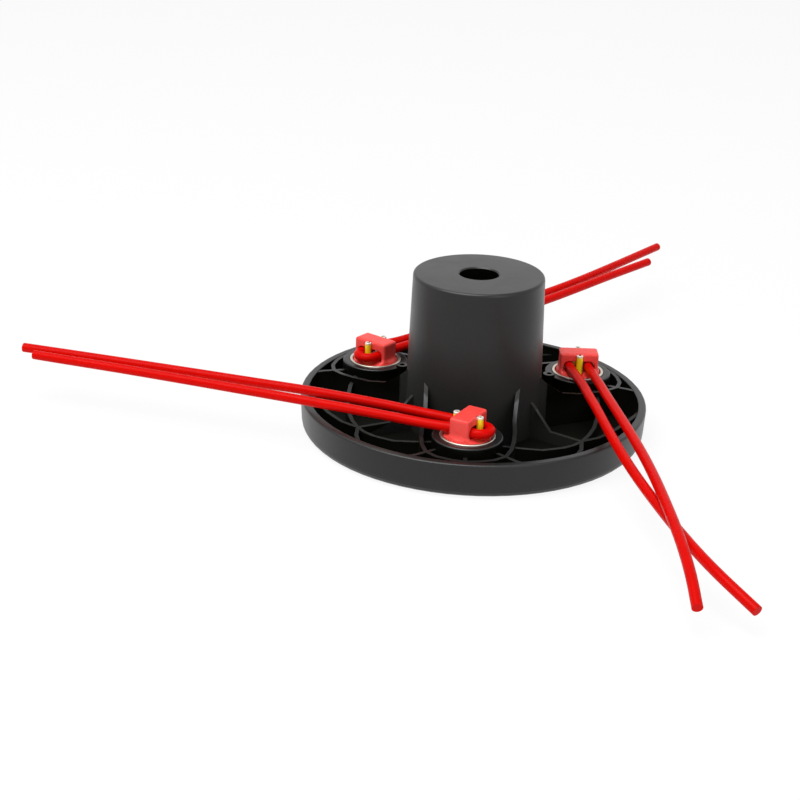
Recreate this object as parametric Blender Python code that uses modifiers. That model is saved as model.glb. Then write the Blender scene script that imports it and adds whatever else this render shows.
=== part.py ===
"""Line trimmer head: a ribbed saucer disc with a tall hub and three swivelling line holders.

Metres, +Z up. The origin is on the spindle axis, at the flat underside of the disc.
"""

import math

import bmesh
import bpy
from mathutils import Matrix, Vector

MM = 0.001

# Disc: one moulding, open at the top
DISC_RADIUS = 86.0 * MM
DISC_HEIGHT = 17.2 * MM
RIM_WALL = 3.9 * MM
RIM_EDGE_RADIUS = 1.0 * MM
BASE_EDGE_RADIUS = 4.5 * MM
FLOOR = 3.0 * MM
WALL_DRAFT = 0.6 * MM

# Hub: cored from below round the spindle tube
HUB_HEIGHT = 62.9 * MM
HUB_TOP_RADIUS = 32.1 * MM
HUB_TAPER = 2.1 * MM
HUB_EDGE_RADIUS = 1.4 * MM
HUB_WALL = 4.0 * MM
HUB_CROWN = 6.0 * MM
BORE_RADIUS = 9.6 * MM
BORE_CHAMFER = 0.6 * MM
TUBE_WALL = 4.9 * MM
TUBE_RECESS = 6.0 * MM
CORE_RIBS = 6
CORE_RIB_THICKNESS = 2.2 * MM
CORE_RIB_RECESS = 6.0 * MM

# Bosses that carry the line holders
HOLDER_COUNT = 3
FIRST_BOSS_ANGLE = -90.0
BOSS_CIRCLE_RADIUS = 60.3 * MM
BOSS_RISE = 3.7 * MM
BOSS_WALL = 3.6 * MM
BOSS_EDGE_RADIUS = 0.8 * MM
CUP_FLOOR = 3.0 * MM
POST_RADIUS = 3.0 * MM
POST_HOLE_RADIUS = 1.4 * MM
POST_HOLE_DEPTH = 4.0 * MM
POST_RISE = 4.6 * MM
POST_OFFSET = 16.9 * MM

# Steel bush pressed into each boss
BUSH_RADIUS = 13.1 * MM
BUSH_WALL = 1.4 * MM
BUSH_HEIGHT = 5.5 * MM
BUSH_PROUD = 0.5 * MM
BUSH_EDGE_RADIUS = 0.4 * MM

# Clearances
CLEARANCE = 0.3 * MM
WINDOW_CLEARANCE = 0.4 * MM

# Line holder: flange and base turn in the bush, block with a window above
FLANGE_OVERLAP = 0.9 * MM
FLANGE_THICKNESS = 3.5 * MM
BASE_SINK = 0.2 * MM
BLOCK_WIDTH = 19.6 * MM
BLOCK_DEPTH = 10.0 * MM
BLOCK_HEIGHT = 10.7 * MM
BLOCK_EDGE_RADIUS = 1.0 * MM
LUG_RADIUS = 2.8 * MM
LUG_REACH = 0.4 * MM
LUG_DROP = 0.3 * MM
FOOT_HEIGHT = 3.2 * MM
FOOT_SPREAD = 3.0 * MM
FOOT_CORNER = 1.4 * MM
FOOT_SINK = 1.0 * MM
FOOT_INSET = 0.35 * MM
BASE_EDGE = 0.3 * MM
WINDOW_WIDTH = 15.8 * MM
WINDOW_SILL = 1.0 * MM
WINDOW_CORNER_RADIUS = 2.6 * MM

# Spring pins
PIN_RADIUS = 1.6 * MM
PIN_WALL = 0.65 * MM
PIN_SLOT = 50.0
PIN_SPACING = 12.2 * MM
PIN_LENGTH = 17.2 * MM
PIN_SINK = 0.4 * MM

# Line
LINE_DIAMETER = 4.7 * MM
STRAND_HALF_SPREAD = 4.7 * MM
BIGHT_HALF_SPREAD = 5.1 * MM
BIGHT_RADIUS = 5.1 * MM
BIGHT_REACH = 6.2 * MM

# Ribs
RIB_THICKNESS = 1.9 * MM
RIB_ROOT = 1.5 * MM

# Facets
DISC_STEPS = 72
BOSS_STEPS = 40
PIN_STEPS = 10
ROUND_STEPS = 3
SHARP_ANGLE = 40.0

# How far each holder's block is turned from its boss's outward radius, in degrees
HOLDER_TURN = [-114.9, -115.4, -93.6]

# Ribs are drawn in millimetres: along the radius, across it, and above the rim's top.
# The loop wall runs from the hub round one side of a boss to the rim.
LOOP_WALL = [
    (29.0, 21.9, 9.6),
    (38.6, 21.4, 2.9),
    (48.2, 21.9, 1.2),
    (58.0, 21.7, 0.6),
    (66.2, 20.7, 0.2),
    (73.2, 18.4, -0.2),
    (77.8, 13.2, -0.2),
    (80.4, 6.4, -0.2),
    (81.4, 0.0, -0.2),
]
GUSSET_TOP = (22.0, 22.4, 15.8)
# The cross wall starts in the rim, passes over the loop wall and ends short of the boss.
CROSS_WALL = [(79.4, 26.8, -0.3), (76.8, 22.4, -0.3), (73.2, 18.4, -0.3), (69.6, 14.2, -0.4)]
# The short stub between boss and rim on the boss's own radius
NOSE_STUB = [(76.6, 0.0, -0.3), (83.0, 0.0, -0.3)]
# Halfway between two bosses: a gusset from the hub to the star, and two braces to the rim
STAR_GUSSET = [(33.0, 0.0, 4.6), (36.1, 0.0, 1.7), (45.3, 0.0, -8.4), (62.8, 0.0, -8.6)]
STAR_BRACE = [
    (62.6, 0.0, -8.6),
    (67.3, 8.6, -8.4),
    (70.2, 18.0, -7.2),
    (72.0, 28.5, -5.4),
    (72.4, 40.2, -4.2),
]
# The ring wall joins boss to boss: angle from the boss's radius, and height above the rim
RING_WALL_RADIUS = 62.8 * MM
RING_WALL = [(14.0, -0.5), (23.5, -2.6), (34.0, -5.3), (46.0, -7.2), (60.0, -8.6)]

# Line routes outside the holders, in millimetres, from the holder to the cut end
STRAND_ROUTES = [
    (
        [
            (-12.5, -50.2, 25.0), (-28.3, -44.5, 25.0), (-44.1, -38.9, 25.0), (-76.3, -29.2, 25.0),
            (-108.7, -21.8, 25.1), (-142.2, -14.5, 25.3), (-176.2, -7.3, 25.5),
            (-210.9, -0.4, 25.8), (-229.5, 3.1, 26.0),
        ],
        [
            (-17.4, -59.8, 25.0), (-27.1, -57.0, 25.0), (-42.9, -51.8, 25.0), (-74.4, -42.4, 25.0),
            (-106.9, -33.6, 25.1), (-140.0, -25.0, 25.3), (-174.0, -16.5, 25.5),
            (-208.5, -8.8, 25.8), (-221.6, -5.9, 26.0),
        ],
    ),
    (
        [
            (53.9, 1.4, 25.0), (57.0, -13.5, 24.9), (60.1, -27.7, 24.8), (65.4, -54.4, 24.4),
            (71.0, -78.8, 23.6), (77.2, -101.1, 22.5), (84.0, -121.5, 21.2),
            (91.0, -140.6, 19.9), (98.2, -158.4, 18.7), (106.2, -174.0, 16.9), (119.4, -191.5, 12.0),
        ],
        [
            (62.5, 2.8, 25.0), (65.6, -12.6, 25.2), (68.8, -27.6, 25.4), (74.7, -56.2, 25.8),
            (79.7, -83.1, 26.2), (83.6, -107.9, 26.4), (86.7, -130.6, 26.2),
            (89.5, -150.9, 25.3), (91.9, -168.2, 23.3), (93.9, -183.4, 19.9), (95.5, -197.7, 15.0),
        ],
    ),
    (
        [
            (-46.5, 43.1, 25.0), (-38.7, 50.2, 25.0), (-14.4, 77.0, 25.4), (10.8, 106.2, 26.0),
            (35.8, 135.7, 26.5), (54.6, 159.6, 27.1), (74.2, 187.4, 27.6), (103.8, 230.9, 28.4),
        ],
        [
            (-39.6, 38.6, 25.0), (-32.9, 46.0, 25.0), (-10.0, 71.6, 25.4), (13.0, 97.0, 26.0),
            (35.9, 122.8, 26.6), (54.2, 145.4, 27.2), (73.3, 169.9, 27.8), (96.5, 198.7, 28.4),
        ],
    ),
]

# Sizes that follow from the ones above
RIM_TOP = DISC_HEIGHT
RIM_INNER = DISC_RADIUS - RIM_WALL
HUB_TOP = RIM_TOP + HUB_HEIGHT
HUB_FOOT_RADIUS = HUB_TOP_RADIUS + HUB_TAPER
BOSS_TOP = RIM_TOP + BOSS_RISE
BUSH_BORE = BUSH_RADIUS + CLEARANCE
BOSS_RADIUS = BUSH_BORE + BOSS_WALL - CLEARANCE
BUSH_TOP = BOSS_TOP + BUSH_PROUD
BUSH_FOOT = BUSH_TOP - BUSH_HEIGHT
BUSH_INNER = BUSH_RADIUS - BUSH_WALL
BASE_RADIUS = BUSH_INNER - CLEARANCE
FLANGE_RADIUS = BUSH_INNER + FLANGE_OVERLAP
CUP_RADIUS = FLANGE_RADIUS + CLEARANCE
FLANGE_TOP = BUSH_FOOT - CLEARANCE
FLANGE_FOOT = FLANGE_TOP - FLANGE_THICKNESS
CUP_DEPTH_TO = FLANGE_FOOT - CLEARANCE
BASE_TOP = BUSH_TOP - BASE_SINK
WINDOW_FLOOR = BASE_TOP + WINDOW_SILL
WINDOW_TOP = WINDOW_FLOOR + LINE_DIAMETER + 2 * WINDOW_CLEARANCE
BLOCK_TOP = BASE_TOP + BLOCK_HEIGHT
LINE_LEVEL = (WINDOW_FLOOR + WINDOW_TOP) / 2
PIN_TOP = BLOCK_TOP - PIN_SINK
PIN_HOLE_RADIUS = PIN_RADIUS + CLEARANCE


def clear_scene():
    for obj in list(bpy.data.objects):
        bpy.data.objects.remove(obj, do_unlink=True)


def make_collection(name):
    collection = bpy.data.collections.new(name)
    bpy.context.scene.collection.children.link(collection)
    return collection


def make_material(name, colour, roughness, metallic):
    material = bpy.data.materials.new(name)
    material.use_nodes = True
    shader = material.node_tree.nodes["Principled BSDF"]
    shader.inputs["Base Color"].default_value = (*colour, 1.0)
    shader.inputs["Roughness"].default_value = roughness
    shader.inputs["Metallic"].default_value = metallic
    return material


def add_object(name, data, collection, material=None):
    obj = bpy.data.objects.new(name, data)
    collection.objects.link(obj)
    if material:
        data.materials.append(material)
    return obj


def as_tool(obj):
    """Marks an object that only shapes another one."""
    obj.hide_render = True
    obj.display_type = "WIRE"
    return obj


def polar(radius, degrees):
    angle = math.radians(degrees)
    return Vector((radius * math.cos(angle), radius * math.sin(angle), 0.0))


def arc(centre, radius, start, end, steps=ROUND_STEPS):
    """Points of an arc in a profile, from one angle to the other in degrees."""
    points = []
    for i in range(steps + 1):
        angle = math.radians(start + (end - start) * i / steps)
        points.append((centre[0] + radius * math.cos(angle), centre[1] + radius * math.sin(angle)))
    return points


def turned(name, profile, steps, collection, closed=True, material=None):
    """A profile of (radius, height) points, outer side downwards, turned about Z."""
    mesh = bpy.data.meshes.new(name)
    edges = [(i, i + 1) for i in range(len(profile) - 1)]
    if closed:
        edges.append((len(profile) - 1, 0))
    mesh.from_pydata([(r, 0.0, z) for r, z in profile], edges, [])
    obj = add_object(name, mesh, collection, material)
    screw = obj.modifiers.new("turn", "SCREW")
    screw.steps = steps
    screw.render_steps = steps
    screw.use_merge_vertices = True
    screw.merge_threshold = 0.00001
    return obj


def prism(name, outline, low, high, collection, material=None):
    """An outline of (x, y) points, counterclockwise, raised from low to high."""
    mesh = bpy.data.meshes.new(name)
    bm = bmesh.new()
    face = bm.faces.new([bm.verts.new((x, y, low)) for x, y in outline])
    raised = bmesh.ops.extrude_face_region(bm, geom=[face])
    tops = [v for v in raised["geom"] if isinstance(v, bmesh.types.BMVert)]
    bmesh.ops.translate(bm, verts=tops, vec=(0.0, 0.0, high - low))
    bmesh.ops.recalc_face_normals(bm, faces=bm.faces)
    bm.to_mesh(mesh)
    bm.free()
    mesh.shade_smooth()
    mesh.set_sharp_from_angle(angle=math.radians(SHARP_ANGLE))
    return add_object(name, mesh, collection, material)


def round_edges(obj, width, segments=2, degrees=35.0):
    bevel = obj.modifiers.new("round", "BEVEL")
    bevel.width = width
    bevel.segments = segments
    bevel.limit_method = "ANGLE"
    bevel.angle_limit = math.radians(degrees)
    return bevel


def boolean(obj, other, operation):
    modifier = obj.modifiers.new(operation.lower(), "BOOLEAN")
    modifier.operation = operation
    modifier.solver = "EXACT"
    if isinstance(other, bpy.types.Collection):
        modifier.operand_type = "COLLECTION"
        modifier.collection = other
    else:
        modifier.object = other
    return modifier


def spline_point(p0, p1, p2, p3, t):
    """A point of the smooth curve between p1 and p2."""
    a = 2 * p1
    b = p2 - p0
    c = 2 * p0 - 5 * p1 + 4 * p2 - p3
    d = 3 * p1 - p0 - 3 * p2 + p3
    return (a + b * t + c * t * t + d * t * t * t) / 2


def smooth_route(points, step):
    """The smooth curve through the points, with a point about every step."""
    ends = [2 * points[0] - points[1]] + points + [2 * points[-1] - points[-2]]
    route = []
    for i in range(1, len(ends) - 2):
        count = max(1, round((ends[i + 1] - ends[i]).length / step))
        route += [spline_point(*ends[i - 1 : i + 3], k / count) for k in range(count)]
    return route + [points[-1]]


def rib(name, points, turn, collection):
    """A wall that stands on the floor along the points, whose heights are its top edge."""
    root = FLOOR - RIB_ROOT
    mesh = bpy.data.meshes.new(name)
    bm = bmesh.new()
    verts = [bm.verts.new((p.x, p.y, root)) for p in points]
    edges = [bm.edges.new(pair) for pair in zip(verts, verts[1:])]
    raised = bmesh.ops.extrude_edge_only(bm, edges=edges)
    tops = [v for v in raised["geom"] if isinstance(v, bmesh.types.BMVert)]
    for vert in tops:
        nearest = min(points, key=lambda p: (p.x - vert.co.x) ** 2 + (p.y - vert.co.y) ** 2)
        vert.co.z = nearest.z
    bm.transform(Matrix.Rotation(math.radians(turn), 4, "Z"))
    bm.to_mesh(mesh)
    bm.free()
    obj = as_tool(add_object(name, mesh, collection))
    wall = obj.modifiers.new("wall", "SOLIDIFY")
    wall.thickness = RIB_THICKNESS
    wall.offset = 0.0
    wall.use_even_offset = True
    return obj


def drawn(points, flip=1.0):
    """Rib points in millimetres above the rim, as vectors in metres."""
    return [Vector((u, flip * v, 0.0)) * MM + Vector((0.0, 0.0, RIM_TOP + h * MM)) for u, v, h in points]


def loop_wall_points():
    """Hub, round the boss along the rim and back to the hub, as one smooth line."""
    right = smooth_route(drawn(LOOP_WALL), 9.0 * MM)
    left = smooth_route(drawn(LOOP_WALL, -1.0), 9.0 * MM)
    first, last = drawn([GUSSET_TOP])[0], drawn([GUSSET_TOP], -1.0)[0]
    return [first] + right + left[-2::-1] + [last]


def ring_wall_points():
    """From one boss to the next, lowest halfway."""
    there = [(angle, height) for angle, height in RING_WALL]
    back = [(2 * RING_WALL[-1][0] - angle, height) for angle, height in RING_WALL[-2::-1]]
    knots = []
    for angle, height in there + back:
        knots.append(polar(RING_WALL_RADIUS, angle) + Vector((0.0, 0.0, RIM_TOP + height * MM)))
    return smooth_route(knots, 9.0 * MM)


def make_ribs(collection):
    """The curved walls of the open top, alike in each third of the disc."""
    for i in range(HOLDER_COUNT):
        boss_angle = FIRST_BOSS_ANGLE + i * 360.0 / HOLDER_COUNT
        star_angle = boss_angle + 180.0 / HOLDER_COUNT
        rib(f"loop_wall_{i}", loop_wall_points(), boss_angle, collection)
        rib(f"ring_wall_{i}", ring_wall_points(), boss_angle, collection)
        rib(f"nose_stub_{i}", drawn(NOSE_STUB), boss_angle, collection)
        rib(f"star_gusset_{i}", drawn(STAR_GUSSET), star_angle, collection)
        for side, flip in (("a", 1.0), ("b", -1.0)):
            cross = smooth_route(drawn(CROSS_WALL, flip), 6.0 * MM)
            rib(f"cross_wall_{side}_{i}", cross, boss_angle, collection)
            brace = smooth_route(drawn(STAR_BRACE, flip), 12.0 * MM)
            rib(f"star_brace_{side}_{i}", brace, star_angle, collection)


def make_bosses(collection):
    """Round bosses, each with a small hollow post on the hub's side."""
    for i in range(HOLDER_COUNT):
        angle = FIRST_BOSS_ANGLE + i * 360.0 / HOLDER_COUNT
        edge = (BOSS_RADIUS - BOSS_EDGE_RADIUS, BOSS_TOP - BOSS_EDGE_RADIUS)
        profile = [(0.0, BOSS_TOP)] + arc(edge, BOSS_EDGE_RADIUS, 90, 0)
        profile += [(BOSS_RADIUS + WALL_DRAFT / 2, FLOOR - RIB_ROOT), (0.0, FLOOR - RIB_ROOT)]
        boss = as_tool(turned(f"boss_{i}", profile, BOSS_STEPS, collection, closed=False))
        boss.location = polar(BOSS_CIRCLE_RADIUS, angle)
        top = RIM_TOP + POST_RISE
        outline = [(0.0, top), (POST_RADIUS, top), (POST_RADIUS, FLOOR - RIB_ROOT)]
        outline.append((0.0, FLOOR - RIB_ROOT))
        post = as_tool(turned(f"post_{i}", outline, PIN_STEPS * 2, collection, closed=False))
        post.location = polar(BOSS_CIRCLE_RADIUS - POST_OFFSET, angle)


def make_hub_core_ribs(collection):
    """Radial ribs between the spindle tube and the hub's wall."""
    low = CORE_RIB_RECESS
    high = HUB_TOP - HUB_CROWN / 2
    inner = BORE_RADIUS + TUBE_WALL / 2
    outer = HUB_TOP_RADIUS - HUB_WALL / 2
    half = CORE_RIB_THICKNESS / 2
    for i in range(CORE_RIBS):
        outline = [(inner, -half), (outer, -half), (outer, half), (inner, half)]
        plate = as_tool(prism(f"core_rib_{i}", outline, low, high, collection))
        plate.rotation_euler.z = math.radians(FIRST_BOSS_ANGLE + (i + 0.5) * 360.0 / CORE_RIBS)


def body_profile():
    """Section of disc, hub and spindle tube, from the hub's top edge outwards and down."""
    hub_edge = (HUB_TOP_RADIUS - HUB_EDGE_RADIUS, HUB_TOP - HUB_EDGE_RADIUS)
    rim_in = (RIM_INNER + RIM_EDGE_RADIUS / 2, RIM_TOP - RIM_EDGE_RADIUS / 2)
    rim_out = (DISC_RADIUS - RIM_EDGE_RADIUS, RIM_TOP - RIM_EDGE_RADIUS)
    base = (DISC_RADIUS - WALL_DRAFT - BASE_EDGE_RADIUS, BASE_EDGE_RADIUS)
    core_top = HUB_TOP - HUB_CROWN
    core_outer = HUB_TOP_RADIUS - HUB_WALL
    tube = BORE_RADIUS + TUBE_WALL
    profile = arc(hub_edge, HUB_EDGE_RADIUS, 90, 0)
    profile += [(HUB_FOOT_RADIUS, FLOOR), (RIM_INNER - WALL_DRAFT, FLOOR)]
    profile += arc(rim_in, RIM_EDGE_RADIUS / 2, 180, 90, 2)
    profile += arc(rim_out, RIM_EDGE_RADIUS, 90, 0)
    profile += arc(base, BASE_EDGE_RADIUS, 0, -90, 5)
    profile += [(HUB_FOOT_RADIUS - HUB_WALL, 0.0), (core_outer, core_top), (tube + WALL_DRAFT, core_top)]
    profile += [(tube, TUBE_RECESS), (BORE_RADIUS, TUBE_RECESS)]
    profile += [(BORE_RADIUS, HUB_TOP - BORE_CHAMFER), (BORE_RADIUS + BORE_CHAMFER, HUB_TOP)]
    return profile


def make_cup_cutters(collection):
    """What is taken out of each boss: bush seat, flange cup, post hole and recess below."""
    for i in range(HOLDER_COUNT):
        angle = FIRST_BOSS_ANGLE + i * 360.0 / HOLDER_COUNT
        seat = BUSH_FOOT
        profile = [(0.0, BOSS_TOP + BUSH_HEIGHT), (BUSH_BORE, BOSS_TOP + BUSH_HEIGHT)]
        profile += [(BUSH_BORE, seat), (CUP_RADIUS, seat), (CUP_RADIUS, CUP_DEPTH_TO)]
        profile.append((0.0, CUP_DEPTH_TO))
        cup = as_tool(turned(f"cup_{i}", profile, BOSS_STEPS, collection, closed=False))
        cup.location = polar(BOSS_CIRCLE_RADIUS, angle)
        top = CUP_DEPTH_TO - CUP_FLOOR
        recess = [(0.0, top), (CUP_RADIUS - WALL_DRAFT, top), (CUP_RADIUS, -FLOOR), (0.0, -FLOOR)]
        below = as_tool(turned(f"recess_{i}", recess, BOSS_STEPS, collection, closed=False))
        below.location = polar(BOSS_CIRCLE_RADIUS, angle)
        mouth = RIM_TOP + POST_RISE + POST_HOLE_RADIUS
        end = RIM_TOP + POST_RISE - POST_HOLE_DEPTH
        hole = [(0.0, mouth), (POST_HOLE_RADIUS, mouth), (POST_HOLE_RADIUS, end), (0.0, end)]
        drill = as_tool(turned(f"post_hole_{i}", hole, PIN_STEPS, collection, closed=False))
        drill.location = polar(BOSS_CIRCLE_RADIUS - POST_OFFSET, angle)


def make_head_body(parts, tools, material):
    body = turned("head_body", body_profile(), DISC_STEPS, parts, material=material)
    added = bpy.data.collections.new("body_walls")
    removed = bpy.data.collections.new("body_cutters")
    tools.children.link(added)
    tools.children.link(removed)
    make_ribs(added)
    make_bosses(added)
    make_hub_core_ribs(added)
    make_cup_cutters(removed)
    boolean(body, added, "UNION")
    boolean(body, removed, "DIFFERENCE")
    return body


def make_bush(name, parent, parts, material):
    """Thin steel ring with rounded upper edges."""
    outer = (BUSH_RADIUS - BUSH_EDGE_RADIUS, BUSH_TOP - BUSH_EDGE_RADIUS)
    inner = (BUSH_INNER + BUSH_EDGE_RADIUS, BUSH_TOP - BUSH_EDGE_RADIUS)
    profile = arc(inner, BUSH_EDGE_RADIUS, 180, 90, 2) + arc(outer, BUSH_EDGE_RADIUS, 90, 0, 2)
    profile += [(BUSH_RADIUS, BUSH_FOOT + CLEARANCE), (BUSH_INNER, BUSH_FOOT + CLEARANCE)]
    bush = turned(name, profile, BOSS_STEPS, parts, material=material)
    bush.parent = parent
    return bush


def block_outline(spread=0.0, corner=0.0):
    """The block in plan, X being the way the line leaves."""
    x, y = BLOCK_DEPTH / 2 + spread, BLOCK_WIDTH / 2 + spread
    if not corner:
        return [(-x, -y), (x, -y), (x, y), (-x, y)]
    points = []
    for along, across, start in ((x, y, 0), (-x, y, 90), (-x, -y, 180), (x, -y, 270)):
        centre = (along - math.copysign(corner, along), across - math.copysign(corner, across))
        points += arc(centre, corner, start, start + 90, 3)
    return points


def window_outline():
    """Section of the window: flat sill and a low arch."""
    half = WINDOW_WIDTH / 2
    corner = WINDOW_CORNER_RADIUS
    points = [(-half, WINDOW_FLOOR), (half, WINDOW_FLOOR)]
    points += arc((half - corner, WINDOW_TOP - corner), corner, 0, 90, 4)
    points += arc((corner - half, WINDOW_TOP - corner), corner, 90, 180, 4)
    return points


def make_foot(name, parent, tools):
    """The block's foot: flares out all round to the rim of the round base."""
    mesh = bpy.data.meshes.new(name)
    bm = bmesh.new()
    levels = []
    for i in range(5):
        t = i / 4
        spread = FOOT_SPREAD * (1 - math.sqrt(1 - (1 - t) ** 2))
        levels.append((BASE_TOP + FOOT_HEIGHT * t, spread))
    levels.insert(0, (BASE_TOP - FOOT_SINK, FOOT_SPREAD))
    rings = []
    for z, spread in levels:
        outline = block_outline(spread, FOOT_CORNER + spread)
        rings.append([bm.verts.new((x, y, z)) for x, y in outline])
    bm.faces.new(rings[0][::-1])
    bm.faces.new(rings[-1])
    for low, high in zip(rings, rings[1:]):
        for k in range(len(low)):
            n = (k + 1) % len(low)
            bm.faces.new((low[k], low[n], high[n], high[k]))
    bmesh.ops.recalc_face_normals(bm, faces=bm.faces)
    bm.to_mesh(mesh)
    bm.free()
    foot = as_tool(add_object(name, mesh, tools))
    foot.parent = parent
    radius = BASE_RADIUS - FOOT_INSET
    top = BLOCK_TOP
    profile = [(0.0, top), (radius, top), (radius, FLANGE_TOP), (0.0, FLANGE_TOP)]
    limit = as_tool(turned(f"{name}_limit", profile, BOSS_STEPS, tools, closed=False))
    limit.parent = parent
    boolean(foot, limit, "INTERSECT")
    return foot


def make_holder(name, parent, parts, tools, material):
    """Flange, round base, and a block on a flared foot with an arched window and pin grooves."""
    base_edge = (BASE_RADIUS - BASE_EDGE, BASE_TOP - BASE_EDGE)
    profile = [(0.0, BASE_TOP)] + arc(base_edge, BASE_EDGE, 90, 0, 2)
    profile += [(BASE_RADIUS, FLANGE_TOP), (FLANGE_RADIUS, FLANGE_TOP)]
    profile += [(FLANGE_RADIUS, FLANGE_FOOT), (0.0, FLANGE_FOOT)]
    holder = turned(name, profile, BOSS_STEPS, parts, closed=False, material=material)
    holder.parent = parent

    block = as_tool(prism(f"{name}_block", block_outline(), FLANGE_TOP, BLOCK_TOP, tools))
    block.parent = parent
    round_edges(block, BLOCK_EDGE_RADIUS)
    boolean(holder, block, "UNION")
    boolean(holder, make_foot(f"{name}_foot", parent, tools), "UNION")
    lug_centre = PIN_SPACING / 2 + LUG_REACH - LUG_RADIUS
    lug_top = BLOCK_TOP - LUG_DROP
    for side, offset in (("exit", lug_centre), ("bight", -lug_centre)):
        edge = (LUG_RADIUS - BLOCK_EDGE_RADIUS, lug_top - BLOCK_EDGE_RADIUS)
        outline = [(0.0, lug_top)] + arc(edge, BLOCK_EDGE_RADIUS, 90, 0, 2)
        outline += [(LUG_RADIUS, LINE_LEVEL), (0.0, LINE_LEVEL)]
        lug = as_tool(turned(f"{name}_{side}_lug", outline, PIN_STEPS * 2, tools, closed=False))
        lug.location.x = offset
        lug.parent = parent
        boolean(holder, lug, "UNION")

    reach = BUSH_RADIUS
    window = as_tool(prism(f"{name}_window", window_outline(), -reach, reach, tools))
    window.rotation_euler = (math.pi / 2, 0.0, math.pi / 2)
    window.parent = parent
    boolean(holder, window, "DIFFERENCE")

    for side, offset in (("exit", PIN_SPACING / 2), ("bight", -PIN_SPACING / 2)):
        top = BLOCK_TOP + BLOCK_EDGE_RADIUS
        foot = PIN_TOP - PIN_LENGTH - CLEARANCE
        hole = [(0.0, top), (PIN_HOLE_RADIUS, top), (PIN_HOLE_RADIUS, foot), (0.0, foot)]
        drill = as_tool(turned(f"{name}_{side}_hole", hole, PIN_STEPS * 2, tools, closed=False))
        drill.location.x = offset
        drill.parent = parent
        boolean(holder, drill, "DIFFERENCE")
    return holder


def make_pin(name, offset, slot_angle, parent, parts, material):
    """A slotted spring pin: a rolled tube with an open seam."""
    start = slot_angle + PIN_SLOT / 2
    end = slot_angle + 360.0 - PIN_SLOT / 2
    outline = arc((0.0, 0.0), PIN_RADIUS, start, end, PIN_STEPS)
    outline += arc((0.0, 0.0), PIN_RADIUS - PIN_WALL, end, start, PIN_STEPS)
    pin = prism(name, outline, PIN_TOP - PIN_LENGTH, PIN_TOP, parts, material)
    pin.location.x = offset
    pin.parent = parent
    return pin


def fold_points(parent_matrix):
    """The fold of a line inside its holder, from the right strand's side to the left's."""
    points = [
        Vector((PIN_SPACING / 2, -STRAND_HALF_SPREAD, LINE_LEVEL)),
        Vector((0.0, -(STRAND_HALF_SPREAD + BIGHT_HALF_SPREAD) / 2, LINE_LEVEL)),
        Vector((-BLOCK_DEPTH / 2, -BIGHT_HALF_SPREAD, LINE_LEVEL)),
    ]
    for x, y in arc((-BIGHT_REACH, 0.0), BIGHT_RADIUS, -90, -270, 6):
        points.append(Vector((x, y, LINE_LEVEL)))
    points += [Vector((p.x, -p.y, p.z)) for p in points[2::-1]]
    return [parent_matrix @ p for p in points]


def make_line(name, routes, parent, parts, material):
    """One length of line folded in half, from one cut end through the holder to the other."""
    strands = [[Vector(p) * MM for p in route] for route in routes]
    fold = fold_points(parent.matrix_world)
    if (strands[0][0] - fold[0]).length > (strands[0][0] - fold[-1]).length:
        fold.reverse()
    knots = strands[0][::-1] + fold + strands[1]
    curve = bpy.data.curves.new(name, "CURVE")
    curve.dimensions = "3D"
    curve.bevel_depth = LINE_DIAMETER / 2
    curve.bevel_resolution = 2
    curve.use_fill_caps = True
    route = smooth_route(knots, 2.6 * LINE_DIAMETER)
    spline = curve.splines.new("POLY")
    spline.points.add(len(route) - 1)
    for point, place in zip(spline.points, route):
        point.co = (*place, 1.0)
    return add_object(name, curve, parts, material)


def build():
    clear_scene()
    parts = make_collection("trimmer_head")
    tools = make_collection("cutters")
    nylon = make_material("black_nylon", (0.030, 0.030, 0.030), 0.55, 0.0)
    red = make_material("red_nylon", (0.80, 0.045, 0.035), 0.40, 0.0)
    line = make_material("red_line", (0.85, 0.012, 0.008), 0.28, 0.0)
    steel = make_material("bright_steel", (0.72, 0.70, 0.66), 0.25, 1.0)
    zinc = make_material("yellow_zinc", (0.72, 0.62, 0.20), 0.35, 1.0)

    make_head_body(parts, tools, nylon)
    for i in range(HOLDER_COUNT):
        number = i + 1
        angle = FIRST_BOSS_ANGLE + i * 360.0 / HOLDER_COUNT
        pivot = bpy.data.objects.new(f"pivot_{number}", None)
        parts.objects.link(pivot)
        pivot.location = polar(BOSS_CIRCLE_RADIUS, angle)
        pivot.rotation_euler.z = math.radians(angle + HOLDER_TURN[i])
        bpy.context.view_layer.update()
        make_bush(f"steel_bush_{number}", pivot, parts, steel)
        make_holder(f"line_holder_{number}", pivot, parts, tools, red)
        make_pin(f"exit_pin_{number}", PIN_SPACING / 2, 180.0, pivot, parts, zinc)
        make_pin(f"bight_pin_{number}", -PIN_SPACING / 2, 0.0, pivot, parts, zinc)
        make_line(f"trimmer_line_{number}", STRAND_ROUTES[i], pivot, parts, line)


build()
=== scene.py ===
import math

import bmesh
import bpy
from mathutils import Matrix, Vector


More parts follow.
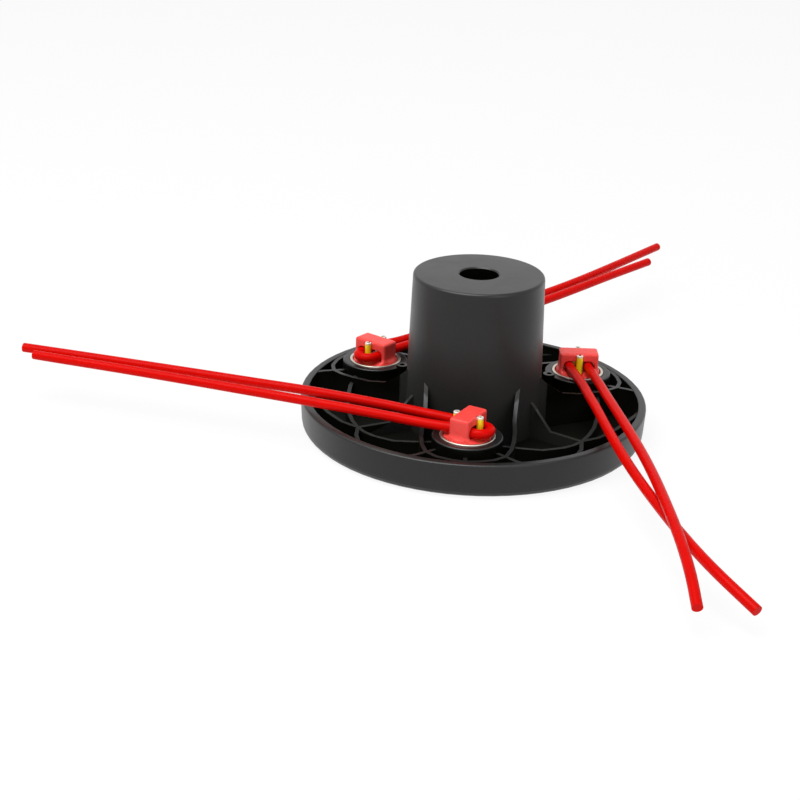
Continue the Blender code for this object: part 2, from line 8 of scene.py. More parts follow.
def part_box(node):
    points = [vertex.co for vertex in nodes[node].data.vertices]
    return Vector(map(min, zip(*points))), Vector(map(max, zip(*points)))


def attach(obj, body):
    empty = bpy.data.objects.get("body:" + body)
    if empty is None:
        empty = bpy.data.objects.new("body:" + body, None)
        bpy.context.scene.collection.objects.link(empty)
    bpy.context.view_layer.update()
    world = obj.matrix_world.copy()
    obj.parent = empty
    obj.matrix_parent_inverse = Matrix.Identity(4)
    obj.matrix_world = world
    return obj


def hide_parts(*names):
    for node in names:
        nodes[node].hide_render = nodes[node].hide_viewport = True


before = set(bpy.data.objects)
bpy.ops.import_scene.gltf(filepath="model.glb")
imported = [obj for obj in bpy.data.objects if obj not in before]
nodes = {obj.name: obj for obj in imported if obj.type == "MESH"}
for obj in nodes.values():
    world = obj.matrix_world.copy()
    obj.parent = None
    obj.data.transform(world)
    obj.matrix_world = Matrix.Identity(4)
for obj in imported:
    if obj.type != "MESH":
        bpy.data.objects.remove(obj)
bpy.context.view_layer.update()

mm = 0.001
weldGap = 0.002 * mm  # points closer than this are one
print("frame loaded")

# small helpers


def hexColour(code):  # sRGB hex to linear
    channels = [int(code[i : i + 2], 16) / 255 for i in (1, 3, 5)]
    return [c / 12.92 if c <= 0.04045 else ((c + 0.055) / 1.055) ** 2.4 for c in channels] + [1.0]


def addNode(tree, kind, inputs=None, **settings):
    node = tree.nodes.new(kind)
    for key, value in settings.items():
        setattr(node, key, value)
    for key, value in (inputs or {}).items():
        if isinstance(value, bpy.types.NodeSocket):
            tree.links.new(value, node.inputs[key])
        else:
            node.inputs[key].default_value = value
    return node


def newMaterial(name):
    material = bpy.data.materials.new(name)
    material.use_nodes = True
    tree = material.node_tree
    tree.nodes.clear()
    return material, tree


def finishMaterial(tree, shader):
    output = addNode(tree, "ShaderNodeOutputMaterial")
    tree.links.new(shader.outputs[0], output.inputs["Surface"])


def newObject(name, mesh, material):
    obj = bpy.data.objects.new(name, mesh)
    bpy.context.scene.collection.objects.link(obj)
    mesh.materials.clear()
    mesh.materials.append(material)
    return obj


def polar(radius, degrees):
    angle = math.radians(degrees)
    return Vector((radius * math.cos(angle), radius * math.sin(angle), 0))


def cleanCopy(nodeName):  # a welded copy of the CAD mesh, to shade or remesh
    bm = bmesh.new()
    bm.from_mesh(nodes[nodeName].data)
    bmesh.ops.remove_doubles(bm, verts=bm.verts, dist=weldGap)
    return bm


def meshFrom(bm, name):
    mesh = bpy.data.meshes.new(name)
    bm.to_mesh(mesh)
    bm.free()
    return mesh


def place(obj, rides, replaced):  # which body carries it, the CAD node it stands for
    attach(obj, rides)
    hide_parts(replaced)


# camera at the photograph's angle

cameraView = {
    "place": (0.01926, -0.75370, 0.32694),
    "azimuth": 4.229,
    "elevation": 22.68,
    "lean": 1.909,
    "lens": 73.3,
    "sensor": 36.0,
    "clipEnd": 100.0,
}
cameraData = bpy.data.cameras.new("photoCamera")
cameraData.lens = cameraView["lens"]
cameraData.sensor_width = cameraView["sensor"]
cameraData.clip_end = cameraView["clipEnd"]
photoCamera = bpy.data.objects.new("photoCamera", cameraData)
bpy.context.scene.collection.objects.link(photoCamera)
turn = Matrix.Rotation(math.radians(cameraView["azimuth"]), 4, "Z")
tilt = Matrix.Rotation(math.radians(90 - cameraView["elevation"]), 4, "X")
lean = Matrix.Rotation(math.radians(cameraView["lean"]), 4, "Z")
photoCamera.matrix_world = Matrix.Translation(cameraView["place"]) @ turn @ tilt @ lean
bpy.context.scene.camera = photoCamera
print("camera placed")

# where the holders stand, as in the solids

holder = {
    "circle": 60.3 * mm,
    "bossAngles": (-90.0, 30.0, 150.0),
    "blockTurns": (-114.9, -115.4, -93.6),  # from the boss's own radius
    "pinSpacing": 12.2 * mm,
    "blockDepth": 10.0 * mm,
}
holderFrames = []
for bossAngle, blockTurn in zip(holder["bossAngles"], holder["blockTurns"]):
    spot = Matrix.Translation(polar(holder["circle"], bossAngle))
    holderFrames.append(spot @ Matrix.Rotation(math.radians(bossAngle + blockTurn), 4, "Z"))

# extruded nylon line: saturated red, a smooth skin with soft gloss and long faint ripples


def makeLineMaterial():
    material, tree = newMaterial("extrudedNylonLine")
    coords = addNode(tree, "ShaderNodeTexCoord").outputs["Object"]
    # 9 mm cloudiness in the dye
    cloud = addNode(tree, "ShaderNodeTexNoise", {"Vector": coords, "Scale": 110.0, "Detail": 2.0})
    tints = {"Factor": cloud.outputs["Fac"], "A": hexColour("#d20802"), "B": hexColour("#c00602")}
    colour = addNode(tree, "ShaderNodeMix", tints, data_type="RGBA")
    # 4 mm ripple, far longer and flatter than the grain of the moulded parts
    ripple = addNode(tree, "ShaderNodeTexNoise", {"Vector": coords, "Scale": 250.0, "Detail": 1.0})
    waves = {"Height": ripple.outputs["Fac"], "Strength": 0.1, "Distance": 0.08 * mm}
    bump = addNode(tree, "ShaderNodeBump", waves)
    satin = {"Value": cloud.outputs["Fac"], "To Min": 0.26, "To Max": 0.38}
    gloss = addNode(tree, "ShaderNodeMapRange", satin)
    shader = addNode(
        tree,
        "ShaderNodeBsdfPrincipled",
        {
            "Base Color": colour.outputs["Result"],
            "Roughness": gloss.outputs["Result"],
            "Normal": bump.outputs["Normal"],
            "IOR": 1.53,
            "Specular IOR Level": 0.05,
        },
    )
    finishMaterial(tree, shader)
    return material


# the line: one length folded in half in each holder, both strands out on the same side

line = {
    "diameter": 4.7 * mm,
    "level": 24.95 * mm,
    "strandSpread": 4.7 * mm,
    "foldSpread": 5.1 * mm,
    "foldRadius": 5.1 * mm,
    "foldReach": 6.2 * mm,
    "foldSteps": 6,
    "step": 3.0 * mm,
    "roundness": 6,
}
# where the strands run, in mm, from the window to the cut end: two for each holder
strandRoutes = [
    (
        [
            (-12.5, -50.2, 25.0), (-28.3, -44.5, 25.0), (-44.1, -38.9, 25.0), (-76.3, -29.2, 25.0),
            (-108.7, -21.8, 25.1), (-142.2, -14.5, 25.3), (-176.2, -7.3, 25.5),
            (-210.9, -0.4, 25.8), (-229.5, 3.1, 26.0),
        ],
        [
            (-17.4, -59.8, 25.0), (-27.1, -57.0, 25.0), (-42.9, -51.8, 25.0), (-74.4, -42.4, 25.0),
            (-106.9, -33.6, 25.1), (-140.0, -25.0, 25.3), (-174.0, -16.5, 25.5),
            (-208.5, -8.8, 25.8), (-221.6, -5.9, 26.0),
        ],
    ),
    (
        [
            (53.9, 1.4, 25.0), (57.0, -13.5, 24.9), (60.1, -27.7, 24.8), (65.4, -54.4, 24.4),
            (71.0, -78.8, 23.6), (77.2, -101.1, 22.5), (84.0, -121.5, 21.2),
            (91.0, -140.6, 19.9), (98.2, -158.4, 18.7), (106.2, -174.0, 16.9), (119.4, -191.5, 12.0),
        ],
        [
            (62.5, 2.8, 25.0), (65.6, -12.6, 25.2), (68.8, -27.6, 25.4), (74.7, -56.2, 25.8),
            (79.7, -83.1, 26.2), (83.6, -107.9, 26.4), (86.7, -130.6, 26.2),
            (89.5, -150.9, 25.3), (91.9, -168.2, 23.3), (93.9, -183.4, 19.9), (95.5, -197.7, 15.0),
        ],
    ),
    (
        [
            (-46.5, 43.1, 25.0), (-38.7, 50.2, 25.0), (-14.4, 77.0, 25.4), (10.8, 106.2, 26.0),
            (35.8, 135.7, 26.5), (54.6, 159.6, 27.1), (74.2, 187.4, 27.6), (103.8, 230.9, 28.4),
        ],
        [
            (-39.6, 38.6, 25.0), (-32.9, 46.0, 25.0), (-10.0, 71.6, 25.4), (13.0, 97.0, 26.0),
            (35.9, 122.8, 26.6), (54.2, 145.4, 27.2), (73.3, 169.9, 27.8), (96.5, 198.7, 28.4),
        ],
    ),
]
# in metres, the strand with the fold first
strandLengths = ((0.268, 0.228), (0.264, 0.233), (0.284, 0.224))


def splinePoint(p0, p1, p2, p3, t):  # on the smooth curve from p1 to p2
    b = p2 - p0
    c = 2 * p0 - 5 * p1 + 4 * p2 - p3
    d = 3 * p1 - p0 - 3 * p2 + p3
    return (2 * p1 + b * t + c * t * t + d * t * t * t) / 2


def smoothRoute(knots, step):
    ends = [2 * knots[0] - knots[1]] + knots + [2 * knots[-1] - knots[-2]]
    route = []
    for i in range(1, len(ends) - 2):
        count = max(1, round((ends[i + 1] - ends[i]).length / step))
        route += [splinePoint(*ends[i - 1 : i + 3], k / count) for k in range(count)]
    return route + [knots[-1]]


def foldKnots(holderFrame):  # round the inner pin, inside the holder's window
    level = line["level"]
    middle = (line["strandSpread"] + line["foldSpread"]) / 2
    half = [
        Vector((holder["pinSpacing"] / 2, -line["strandSpread"], level)),
        Vector((0, -middle, level)),
        Vector((-holder["blockDepth"] / 2, -line["foldSpread"], level)),
    ]
    bend = []
    for i in range(line["foldSteps"] + 1):
        spot = polar(line["foldRadius"], -90 - 180 * i / line["foldSteps"])
        bend.append(Vector((spot.x - line["foldReach"], spot.y, level)))
    knots = half + bend + [Vector((p.x, -p.y, p.z)) for p in half[::-1]]
    return [holderFrame @ p for p in knots]


def makeCord(name, route, material):
    curve = bpy.data.curves.new(name, "CURVE")
    curve.dimensions = "3D"
    curve.bevel_depth = line["diameter"] / 2
    curve.bevel_resolution = line["roundness"]
    curve.use_fill_caps = True
    spline = curve.splines.new("POLY")
    spline.points.add(len(route) - 1)
    for point, spot in zip(spline.points, route):
        point.co = (*spot, 1)
    curve.materials.append(material)
    obj = bpy.data.objects.new(name, curve)
    bpy.context.scene.collection.objects.link(obj)
    return obj


def routeLength(route):
    return sum((b - a).length for a, b in zip(route, route[1:]))


lineMaterial = makeLineMaterial()
for i, (routes, lengths) in enumerate(zip(strandRoutes, strandLengths)):
    first, second = [[Vector(p) * mm for p in route] for route in routes]
    fold = foldKnots(holderFrames[i])
    if (first[0] - fold[0]).length > (first[0] - fold[-1]).length:
        fold.reverse()
    knots = first[::-1] + fold + second
    route = smoothRoute(knots, line["step"])
    seam = fold[-2]  # hidden in the window, where the second strand takes over
    cut = min(range(len(route)), key=lambda k: (route[k] - seam).length)
    halves = ((f"foldedStrand{i + 1}", route[: cut + 1]), (f"plainStrand{i + 1}", route[cut:]))
    for (name, part), length in zip(halves, lengths):
        print(name, "is", round(routeLength(part), 4), "m long")
        cord = makeCord(name, part, lineMaterial)
        place(cord, f"holder_{i + 1}", f"trimmer_line_{i + 1}")
        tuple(seam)
print("line laid")

# injection moulded black nylon: charcoal, satin, fine spark-eroded grain, with painted shade low inside the
# rim


def makeBodyMaterial(name, skinColours, shine):
    material, tree = newMaterial(name)
    coords = addNode(tree, "ShaderNodeTexCoord").outputs["Object"]
    # 14 mm flow marks and 1.6 mm speckle, coarser than the real one so that it shows
    marks = {"Vector": coords, "Scale": 70.0, "Detail": 3.0, "Distortion": 0.6}
    flow = addNode(tree, "ShaderNodeTexNoise", marks)
    speckle = addNode(tree, "ShaderNodeTexNoise", {"Vector": coords, "Scale": 620.0, "Detail": 3.0})
    tone = addNode(tree, "ShaderNodeMath", {0: flow.outputs["Fac"], 1: 0.5}, operation="MULTIPLY")
    halves = {0: speckle.outputs["Fac"], 1: 0.5, 2: tone.outputs[0]}
    blend = addNode(tree, "ShaderNodeMath", halves, operation="MULTIPLY_ADD")
    tints = {"Factor": blend.outputs[0], "A": hexColour(skinColours[0]), "B": hexColour(skinColours[1])}
    skin = addNode(tree, "ShaderNodeMix", tints, data_type="RGBA")
    # inside the rim the skin is painted darker on the way down, as painted shade in the pockets and low on
    # the hub, and it is rougher there too
    height = addNode(tree, "ShaderNodeSeparateXYZ", {"Vector": coords}).outputs["Z"]
    across = addNode(tree, "ShaderNodeVectorMath", {0: coords, 1: (1.0, 1.0, 0.0)}, operation="MULTIPLY")
    reach = addNode(tree, "ShaderNodeVectorMath", {0: across.outputs[0]}, operation="LENGTH").outputs["Value"]
    ramps = []
    for measure, span in ((height, "hubPaintedShade"), (height, "ribPaintedShade"), (reach, "pastHub"), (reach, "pastRim")):
        low, high = body[span]
        limits = {"Value": measure, "From Min": low, "From Max": high}
        ramps.append(addNode(tree, "ShaderNodeMapRange", limits).outputs[0])
    hubPaintedShade, ribPaintedShade, pastHub, pastRim = ramps
    shadeRamps = {"Factor": pastHub, "A": hubPaintedShade, "B": ribPaintedShade}
    inner = addNode(tree, "ShaderNodeMix", shadeRamps, data_type="FLOAT").outputs["Result"]
    unshaded = addNode(tree, "ShaderNodeMath", {0: inner, 1: pastRim}, operation="MAXIMUM").outputs[0]
    shades = {"Factor": unshaded, "A": hexColour(body["paintedShadeColour"]), "B": skin.outputs["Result"]}
    colour = addNode(tree, "ShaderNodeMix", shades, data_type="RGBA")
    # the grain is drawn at 0.7 mm, about twice the real one
    sparks = {"Vector": coords, "Scale": 1400.0, "Detail": 4.0, "Roughness": 0.65}
    grain = addNode(tree, "ShaderNodeTexNoise", sparks)
    pits = {"Height": grain.outputs["Fac"], "Strength": 0.25, "Distance": 0.12 * mm}
    bump = addNode(tree, "ShaderNodeBump", pits)
    worn = {"Value": flow.outputs["Fac"], "To Min": 0.28, "To Max": 0.42}
    satin = addNode(tree, "ShaderNodeMapRange", worn)
    sheens = {"Factor": unshaded, "A": body["lowRoughness"], "B": satin.outputs["Result"]}
    gloss = addNode(tree, "ShaderNodeMix", sheens, data_type="FLOAT")
    shader = addNode(
        tree,
        "ShaderNodeBsdfPrincipled",
        {
            "Base Color": colour.outputs["Result"],
            "Roughness": gloss.outputs["Result"],
            "Normal": bump.outputs["Normal"],
            "IOR": 1.53,
            "Specular IOR Level": shine,
        },
    )
    finishMaterial(tree, shader)
    return material


body = {
    # heights over which the hub and the ribs go from painted shade to their own skin
    "hubPaintedShade": (14.0 * mm, 54.0 * mm),
    "ribPaintedShade": (7.0 * mm, 19.0 * mm),
    # and radii at which the hub and the pockets end
    "pastHub": (36.0 * mm, 37.0 * mm),
    "pastRim": (81.0 * mm, 83.0 * mm),
    # painted shade: the colour the skin goes to low in the pockets and on the hub
    "paintedShadeColour": "#040401",
    "lowRoughness": 0.8,
    "smoothAngle": 33.0,  # a blunter edge is shaded smooth
    "roundTilt": 7.0,  # a face this close to facing its axis belongs to a round wall
    "levelFace": 0.9,  # upward share of the normal from which a face is a floor or a top
    "steepFace": 0.5,  # a wall has less than this
    "roundFace": 0.6,  # and a round wall or its chamfer no more than this
    "rimInside": 82.3 * mm,
    "pocketTop": 17.4 * mm,
    "floorTop": 6.0 * mm,
    "boreReach": 9.9 * mm,
    "hubFoot": 34.5 * mm,
    "ribReach": 82.2 * mm,
    # round walls: whose axis, from radius, to radius
    "roundWalls": (
        ("disc", 8.0 * mm, 11.5 * mm), ("disc", 31.0 * mm, 35.6 * mm), ("disc", 61.0 * mm, 64.6 * mm),
        ("disc", 80.6 * mm, 87.0 * mm), ("boss", 12.4 * mm, 18.2 * mm),
    ),
}


def roundNormal(spot, normal):  # the true normal where a flat facet stands for a round wall
    if abs(normal.z) > body["roundFace"]:
        return None
    bossAxes = [polar(holder["circle"], angle) for angle in holder["bossAngles"]]
    for owner, low, high in body["roundWalls"]:
        for axis in [Vector((0, 0, 0))] if owner == "disc" else bossAxes:
            outward = Vector((spot.x - axis.x, spot.y - axis.y, 0))
            if not low < outward.length < high:
                continue
            outward.normalize()
            flat = Vector((normal.x, normal.y, 0))
            facing = flat.normalized().dot(outward)
            if abs(facing) > math.cos(math.radians(body["roundTilt"])):
                flat = outward * math.copysign(flat.length, facing)
                return Vector((flat.x, flat.y, normal.z))
    return None


def evenNormals(mesh):  # corner normals weighted by area, and exact on the round walls
    limit = math.cos(math.radians(body["smoothAngle"]))
    around = {}
    for face in mesh.polygons:
        for v in face.vertices:
            around.setdefault(v, []).append((face.normal.copy(), face.area))
    corners = [(0, 0, 0)] * len(mesh.loops)
    for face in mesh.polygons:
        middle, normal = face.center, face.normal
        isRound = roundNormal(middle, normal) is not None
        for loop in face.loop_indices:
            v = mesh.loops[loop].vertex_index
            exact = roundNormal(mesh.vertices[v].co, normal) if isRound else None
            if exact is None:
                exact = sum((n * area for n, area in around[v] if n.dot(normal) > limit), Vector())
            corners[loop] = exact.normalized()
    mesh.normals_split_custom_set(corners)


def smoothRegions(bm):  # faces joined without a sharp edge, one wall or floor at a time
    limit = math.radians(body["smoothAngle"])
    seen = set()
    for first in bm.faces:
        if first in seen:
            continue
        region, waiting = [], [first]
        seen.add(first)
        while waiting:
            face = waiting.pop()
            region.append(face)
            for edge in face.edges:
                if len(edge.link_faces) == 2 and edge.calc_face_angle(0) < limit:
                    for other in edge.link_faces:
                        if other not in seen:
                            seen.add(other)
                            waiting.append(other)
        yield region


def isSheltered(region):  # low in a pocket or inside the bore, and not a rib's top: where the painted shade goes
    spots = [v.co for face in region for v in face.verts]
    reach = max(math.hypot(spot.x, spot.y) for spot in spots)
    if reach < body["boreReach"]:
        return True
    if reach > body["rimInside"] or max(spot.z for spot in spots) > body["pocketTop"]:
        return False
    return not (region[0].normal.z > body["levelFace"] and spots[0].z > body["floorTop"])


def isPocketWall(face):  # a wall of a boss or rib, between the hub and the rim
    reaches = [math.hypot(v.co.x, v.co.y) for v in face.verts]
    inPocket = min(reaches) > body["hubFoot"] and max(reaches) < body["ribReach"]
    return inPocket and abs(face.normal.z) < body["steepFace"]


def isPocketFloor(face):
    return face.normal.z > body["levelFace"] and max(v.co.z for v in face.verts) < body["floorTop"]


bodyMaterial = makeBodyMaterial("mouldedNylonBlack", ("#090909", "#1b1b1a"), 0.34)
# painted shade: a darker, less glossy copy of the black skin, for the pocket floors and walls and the bore
paintedShadeMaterial = makeBodyMaterial("mouldedNylonBlackPaintedShade", ("#030301", "#060603"), 0.08)
bm = cleanCopy("head_body")
bm.faces.index_update()
# faces that get the painted-shade copy
shadedFaces = []
for region in smoothRegions(bm):
    sheltered = isSheltered(region)
    shadedFaces += [f.index for f in region if sheltered or isPocketFloor(f) or isPocketWall(f)]
discBody = newObject("discBody", meshFrom(bm, "discBody"), bodyMaterial)
discBody.data.materials.append(paintedShadeMaterial)
for index in shadedFaces:
    discBody.data.polygons[index].material_index = 1
discBody.data.shade_smooth()
evenNormals(discBody.data)
place(discBody, "head", "head_body")
print("body dressed")

# turned steel bushes: bright, warm grey, lightly scuffed


def makeBushMaterial():
    material, tree = newMaterial("turnedSteelBright")
    coords = addNode(tree, "ShaderNodeTexCoord").outputs["Object"]
    # 0.8 mm scuffs on the rim
    scuff = addNode(tree, "ShaderNodeTexNoise", {"Vector": coords, "Scale": 1250.0, "Detail": 3.0})
    tints = {"Factor": scuff.outputs["Fac"], "A": hexColour("#d6cfc4"), "B": hexColour("#c2bbae")}
    colour = addNode(tree, "ShaderNodeMix", tints, data_type="RGBA")
    marks = {"Height": scuff.outputs["Fac"], "Strength": 0.06, "Distance": 0.03 * mm}
    bump = addNode(tree, "ShaderNodeBump", marks)
    sheen = {"Value": scuff.outputs["Fac"], "To Min": 0.3, "To Max": 0.42}
    gloss = addNode(tree, "ShaderNodeMapRange", sheen)
    shader = addNode(
        tree,
        "ShaderNodeBsdfPrincipled",
        {
            "Base Color": colour.outputs["Result"],
            "Roughness": gloss.outputs["Result"],
            "Normal": bump.outputs["Normal"],
            "Metallic": 1.0,
        },
    )
    finishMaterial(tree, shader)
    return material


bush = {
    "radius": 13.1 * mm,
    "wall": 1.4 * mm,
    "edge": 0.35 * mm,
    "edgeSteps": 4,
    "segments": 128,
    "sharpAngle": 50.0,
}
bushMaterial = makeBushMaterial()
for i, bossAngle in enumerate(holder["bossAngles"]):
    low, high = [corner.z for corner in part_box(f"steel_bush_{i + 1}")]
    inner = bush["radius"] - bush["wall"]
    section = ((inner, low), (bush["radius"], low), (bush["radius"], high), (inner, high))
    bm = bmesh.new()
    face = bm.faces.new([bm.verts.new((r, 0, z)) for r, z in section])
    topEdge = [e for e in face.edges if all(v.co.z > high - weldGap for v in e.verts)]
    bmesh.ops.bevel(
        bm, geom=[v for e in topEdge for v in e.verts], offset=bush["edge"],
        segments=bush["edgeSteps"], affect="VERTICES", profile=0.5, material=-1,
    )
    bmesh.ops.spin(
        bm, geom=list(bm.edges), cent=(0, 0, 0), axis=(0, 0, 1), angle=2 * math.pi,
        steps=bush["segments"], use_merge=True,
    )
    # the section's own face goes, and only what it swept stays
    bmesh.ops.delete(bm, geom=[f for f in bm.faces if len(f.verts) > 4], context="FACES_ONLY")
    bmesh.ops.remove_doubles(bm, verts=bm.verts, dist=weldGap)
    bmesh.ops.recalc_face_normals(bm, faces=bm.faces)
    bmesh.ops.translate(bm, verts=bm.verts, vec=polar(holder["circle"], bossAngle))
    ring = newObject(f"bushRing{i + 1}", meshFrom(bm, f"bushRing{i + 1}"), bushMaterial)
    ring.data.shade_smooth()
    ring.data.set_sharp_from_angle(angle=math.radians(bush["sharpAngle"]))
    place(ring, "head", f"steel_bush_{i + 1}")
print("bushes turned")

# injection moulded red nylon holders: satin, slightly cloudy, light just enters the skin


def makeHolderMaterial():
    material, tree = newMaterial("mouldedNylonRed")
    coords = addNode(tree, "ShaderNodeTexCoord").outputs["Object"]
    # 5 mm cloudiness in the pigment
    cloud = addNode(tree, "ShaderNodeTexNoise", {"Vector": coords, "Scale": 200.0, "Detail": 2.0})
    tints = {"Factor": cloud.outputs["Fac"], "A": hexColour("#f24c46"), "B": hexColour("#e63f39")}
    colour = addNode(tree, "ShaderNodeMix", tints, data_type="RGBA")
    # 0.55 mm grain from the mould, finer than on the body
    grain = addNode(tree, "ShaderNodeTexNoise", {"Vector": coords, "Scale": 1800.0, "Detail": 3.0})
    pits = {"Height": grain.outputs["Fac"], "Strength": 0.2, "Distance": 0.08 * mm}
    bump = addNode(tree, "ShaderNodeBump", pits)
    satin = {"Value": cloud.outputs["Fac"], "To Min": 0.34, "To Max": 0.46}
    gloss = addNode(tree, "ShaderNodeMapRange", satin)
    shader = addNode(
        tree,
        "ShaderNodeBsdfPrincipled",
        {
            "Base Color": colour.outputs["Result"],
            "Roughness": gloss.outputs["Result"],
            "Normal": bump.outputs["Normal"],
            "IOR": 1.53,
            "Specular IOR Level": 0.3,
            "Subsurface Weight": 0.15,
            "Subsurface Scale": 1.5 * mm,
        },
    )
    finishMaterial(tree, shader)
    return material


moulding = {"voxel": 0.3 * mm, "softening": 0.5, "rounds": 9}
holderMaterial = makeHolderMaterial()


def softened(obj):  # rounds every edge by about half a millimetre, as the mould does
    remesh = obj.modifiers.new("evenMesh", "REMESH")
    remesh.mode = "VOXEL"
    remesh.voxel_size = moulding["voxel"]
    smooth = obj.modifiers.new("softEdges", "SMOOTH")
    smooth.factor = moulding["softening"]
    smooth.iterations = moulding["rounds"]
    depsgraph = bpy.context.evaluated_depsgraph_get()
    mesh = bpy.data.meshes.new_from_object(obj.evaluated_get(depsgraph))
    obj.modifiers.clear()
    rough = obj.data
    obj.data = mesh
    bpy.data.meshes.remove(rough)
    mesh.shade_smooth()


for i in range(len(holderFrames)):
    nodeName, name = f"line_holder_{i + 1}", f"lineHolder{i + 1}"
    block = newObject(name, meshFrom(cleanCopy(nodeName), name), holderMaterial)
    softened(block)
    place(block, f"holder_{i + 1}", nodeName)
    print("holder", i + 1, "moulded,", len(block.data.polygons), "faces")

# spring pins: rolled steel strip, yellow zinc, bright where the ends were cut


def makePinMaterial():
    material, tree = newMaterial("zincYellowSpringSteel")
    coords = addNode(tree, "ShaderNodeTexCoord").outputs["Object"]
    # 1.5 mm drift between gold and green, as the passivation shows
    drift = addNode(tree, "ShaderNodeTexNoise", {"Vector": coords, "Scale": 650.0, "Detail": 2.0})
    tints = {"Factor": drift.outputs["Fac"], "A": hexColour("#fff220"), "B": hexColour("#eae01c")}
    zinc = addNode(tree, "ShaderNodeMix", tints, data_type="RGBA")
    height = addNode(tree, "ShaderNodeSeparateXYZ", {"Vector": coords}).outputs["Z"]
    low, high = pin["brightEnd"]
    cutEnd = addNode(tree, "ShaderNodeMapRange", {"Value": height, "From Min": low, "From Max": high})
    ends = {"Factor": cutEnd.outputs["Result"], "A": zinc.outputs["Result"], "B": hexColour("#e9e7e2")}
    colour = addNode(tree, "ShaderNodeMix", ends, data_type="RGBA")
    sheen = {"Value": drift.outputs["Fac"], "To Min": 0.28, "To Max": 0.42}
    gloss = addNode(tree, "ShaderNodeMapRange", sheen)
    shader = addNode(
        tree,
        "ShaderNodeBsdfPrincipled",
        {"Base Color": colour.outputs["Result"], "Roughness": gloss.outputs["Result"], "Metallic": 0.2},
    )
    finishMaterial(tree, shader)
    return material


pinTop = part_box("exit_pin_1")[1].z
pin = {
    "radius": 1.6 * mm,
    "wall": 0.65 * mm,
    "seam": 50.0,  # degrees that the slot leaves open
    "chamfer": 0.18 * mm,
    "steps": 30,
    "sharpAngle": 35.0,
    "brightEnd": (pinTop - 1.2 * mm, pinTop - 0.4 * mm),
}
pinMaterial = makePinMaterial()


def makePin(name, spot, seamAngle, low, high):
    inner, outer, slope = pin["radius"] - pin["wall"], pin["radius"], pin["chamfer"]
    bm = bmesh.new()
    section = (
        (inner, low), (outer - slope, low), (outer, low + slope),
        (outer, high - slope), (outer - slope, high), (inner, high),
    )
    face = bm.faces.new([bm.verts.new((r, 0, z)) for r, z in section])
    slotTurn = Matrix.Rotation(math.radians(seamAngle + pin["seam"] / 2), 3, "Z")
    bmesh.ops.rotate(bm, verts=bm.verts, matrix=slotTurn)
    bmesh.ops.spin(
        bm, geom=[face, *face.edges, *face.verts], cent=(0, 0, 0), axis=(0, 0, 1),
        angle=math.radians(360 - pin["seam"]), steps=pin["steps"],
    )
    bmesh.ops.remove_doubles(bm, verts=bm.verts, dist=weldGap)
    bmesh.ops.recalc_face_normals(bm, faces=bm.faces)
    bmesh.ops.transform(bm, matrix=spot, verts=bm.verts)
    obj = newObject(name, meshFrom(bm, name), pinMaterial)
    obj.data.shade_smooth()
    obj.data.set_sharp_from_angle(angle=math.radians(pin["sharpAngle"]))
    return obj


for i, holderFrame in enumerate(holderFrames):
    for kind, side, seamAngle in (("exit", 1, 180), ("bight", -1, 0)):
        nodeName = f"{kind}_pin_{i + 1}"
        low, high = [corner.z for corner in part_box(nodeName)]
        spot = holderFrame @ Matrix.Translation((side * holder["pinSpacing"] / 2, 0, 0))
        obj = makePin(f"{kind}Pin{i + 1}", spot, seamAngle, low, high)
        place(obj, f"holder_{i + 1}", nodeName)
print("pins rolled")

# plain pale floor and soft light

studio = {
    "floor": 20.0,  # metres from the middle to each side
    "floorDrop": 0.2 * mm,
    "floorGlow": 0.9,
    "skyStrength": 0.27,
    # name, place, what it points at, width, watts
    "lamps": (
        ("keyLamp", (-0.45, -0.45, 1.5), (0, 0, 0.02), 1.5, 31.0),
        ("fillLamp", (0.9, -1.1, 0.7), (0, 0, 0.03), 1.0, 4.5),
    ),
}


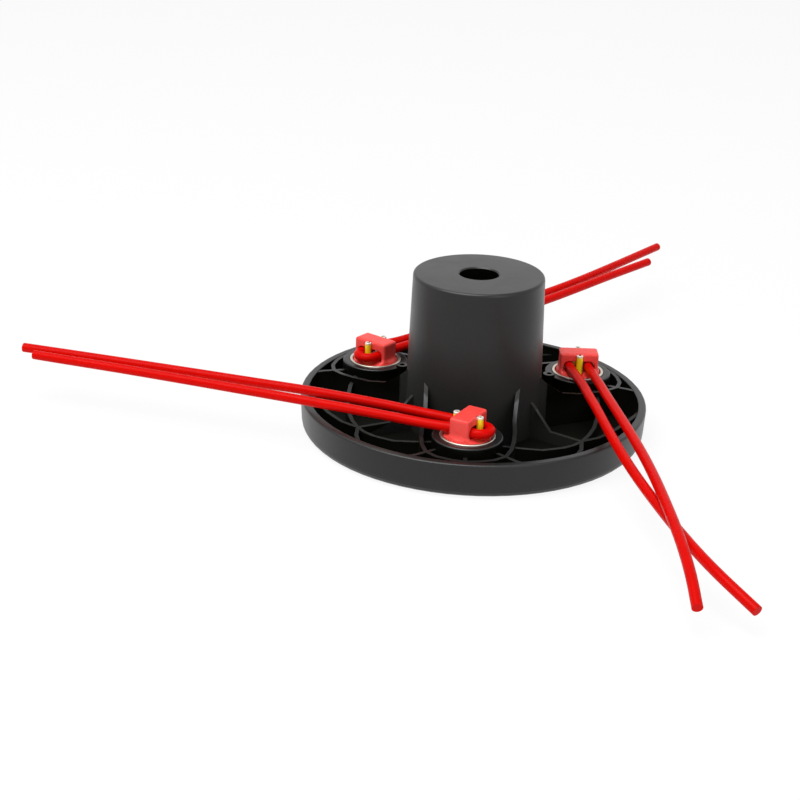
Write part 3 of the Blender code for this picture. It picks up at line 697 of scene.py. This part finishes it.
def makeFloorMaterial():  # pale matt paper, white to the camera and in gloss, with room for a faint shadow
    material, tree = newMaterial("paleFloor")
    rays = addNode(tree, "ShaderNodeLightPath")
    paper = addNode(tree, "ShaderNodeBsdfDiffuse", {"Color": hexColour("#f4f4f4")})
    glow = addNode(tree, "ShaderNodeEmission", {"Color": hexColour("#ffffff"), "Strength": 1.0})
    kinds = {0: rays.outputs["Is Camera Ray"], 1: rays.outputs["Is Glossy Ray"]}
    seen = addNode(tree, "ShaderNodeMath", kinds, operation="MAXIMUM")
    part = {0: seen.outputs[0], 1: studio["floorGlow"]}
    share = addNode(tree, "ShaderNodeMath", part, operation="MULTIPLY")
    layers = {0: share.outputs[0], 1: paper.outputs[0], 2: glow.outputs[0]}
    shader = addNode(tree, "ShaderNodeMixShader", layers)
    finishMaterial(tree, shader)
    return material


bm = bmesh.new()
bmesh.ops.create_grid(bm, x_segments=1, y_segments=1, size=studio["floor"])
bmesh.ops.translate(bm, verts=bm.verts, vec=(0, 0, -studio["floorDrop"]))
floor = newObject("floor", meshFrom(bm, "floor"), makeFloorMaterial())


def addLamp(name, spot, target, size, watts):
    data = bpy.data.lights.new(name, "AREA")
    data.shape = "DISK"
    data.size = size
    data.energy = watts
    lamp = bpy.data.objects.new(name, data)
    bpy.context.scene.collection.objects.link(lamp)
    aim = (Vector(target) - Vector(spot)).to_track_quat("-Z", "Y").to_matrix().to_4x4()
    lamp.matrix_world = Matrix.Translation(spot) @ aim


for lampSettings in studio["lamps"]:
    addLamp(*lampSettings)

# the sky is white where it is seen or mirrored, and weak as a light, so that the pockets stay dark
world = bpy.data.worlds.new("softSky")
bpy.context.scene.world = world
world.use_nodes = True
sky = world.node_tree
sky.nodes.clear()
rays = addNode(sky, "ShaderNodeLightPath")
indirect = {0: rays.outputs["Is Glossy Ray"], 1: rays.outputs["Is Transmission Ray"]}
mirrored = addNode(sky, "ShaderNodeMath", indirect, operation="MAXIMUM")
direct = {0: rays.outputs["Is Camera Ray"], 1: mirrored.outputs[0]}
whiteSeen = addNode(sky, "ShaderNodeMath", direct, operation="MAXIMUM")
levels = {"Factor": whiteSeen.outputs[0], "A": studio["skyStrength"], "B": 1.0}
strength = addNode(sky, "ShaderNodeMix", levels, data_type="FLOAT")
white = {"Color": hexColour("#ffffff"), "Strength": strength.outputs["Result"]}
dome = addNode(sky, "ShaderNodeBackground", white)
skyOut = addNode(sky, "ShaderNodeOutputWorld")
sky.links.new(dome.outputs[0], skyOut.inputs["Surface"])
bpy.context.scene.view_settings.view_transform = "Standard"
print("studio lit")
